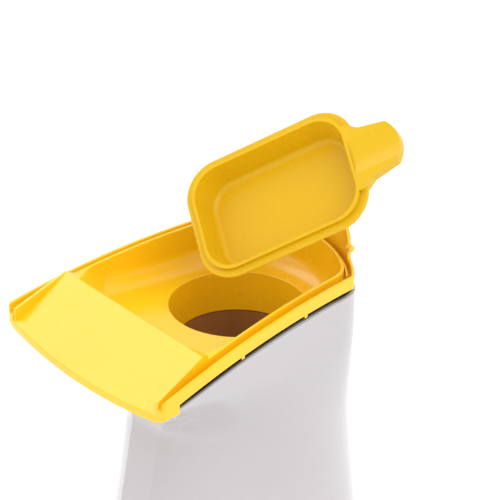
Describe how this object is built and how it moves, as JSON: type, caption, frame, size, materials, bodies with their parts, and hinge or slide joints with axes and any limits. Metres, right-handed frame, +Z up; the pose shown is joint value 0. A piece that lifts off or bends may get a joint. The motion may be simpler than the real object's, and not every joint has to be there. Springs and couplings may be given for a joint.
{
  "type": "hot-air popcorn maker",
  "caption": "Hot-air popcorn maker: waisted white column with a yellow chute tray on top, its hood off, and a yellow measuring scoop held over the popping chamber.",
  "frame": {"origin": "middle of the bounding box's bottom face, on the table under the column", "axes": "+Z up, -Y towards the chute's lip, +Y out of the cord inlet at the back, +X to the object's left as it faces the user"},
  "size_m": [0.1895, 0.2376, 0.3854],
  "materials": {
    "white_shell": "glossy moulded plastic",
    "yellow_plastic": "glossy moulded plastic",
    "base_plastic": "fine texture",
    "foot_rubber": "matt",
    "seal_rubber": "matt",
    "chamber_coating": "satin brown non-stick coating",
    "duct_metal": "plain sheet",
    "insulation_board": "stiff mica paper",
    "mica": "flaky matt board",
    "heater_wire": "oxidised wire",
    "sensor_metal": "plain",
    "carrier_plastic": "plain",
    "carrier_metal": "zinc plated",
    "motor_metal": "plated",
    "motor_plastic": "plain",
    "bush_brass": "sintered",
    "shaft_metal": "ground",
    "fan_plastic": "plain",
    "screw_metal": "zinc plated",
    "board_plastic": "paper board with diodes",
    "gland_plastic": "plain"
  },
  "bodies": {
    "base": {"air_duct": "duct_metal", "base_plate": "base_plastic", "base_screws": "screw_metal", "bracket_screws": "screw_metal", "cord_gland": "gland_plastic", "fan_shroud": "carrier_plastic", "foot_front_left": "foot_rubber", "foot_front_right": "foot_rubber", "foot_rear_left": "foot_rubber", "foot_rear_right": "foot_rubber", "heater_card_front": "mica", "heater_card_side": "mica", "heater_coil": "heater_wire", "housing": "white_shell", "insulation_wrap": "insulation_board", "motor_bracket": "carrier_metal", "motor_can": "motor_metal", "motor_end_cap": "motor_plastic", "motor_screws": "screw_metal", "popping_chamber": "chamber_coating", "rectifier_board": "board_plastic", "shaft_bush": "bush_brass", "thermal_fuse": "sensor_metal", "thermostat": "sensor_metal", "top_seal": "seal_rubber"},
    "tray": {"chute_tray": "yellow_plastic"},
    "scoop": {"scoop": "yellow_plastic"},
    "rotor": {"motor_shaft": "shaft_metal", "fan_impeller": "fan_plastic"}
  },
  "joints": [
    {"name": "tray_lift", "type": "slide", "parent": "base", "child": "tray", "axis": [0, 0, 1], "range_m": [0, 0.08]},
    {"name": "scoop_lift", "type": "slide", "parent": "tray", "child": "scoop", "axis": [0.6053, 0.6262, 0.4914], "range_m": [0, 0.12]},
    {"name": "fan_spin", "type": "hinge", "parent": "base", "child": "rotor", "pos_m": [-0.00065, 0.0203, 0.06], "axis": [0, 0, 1], "continuous": true}
  ]
}
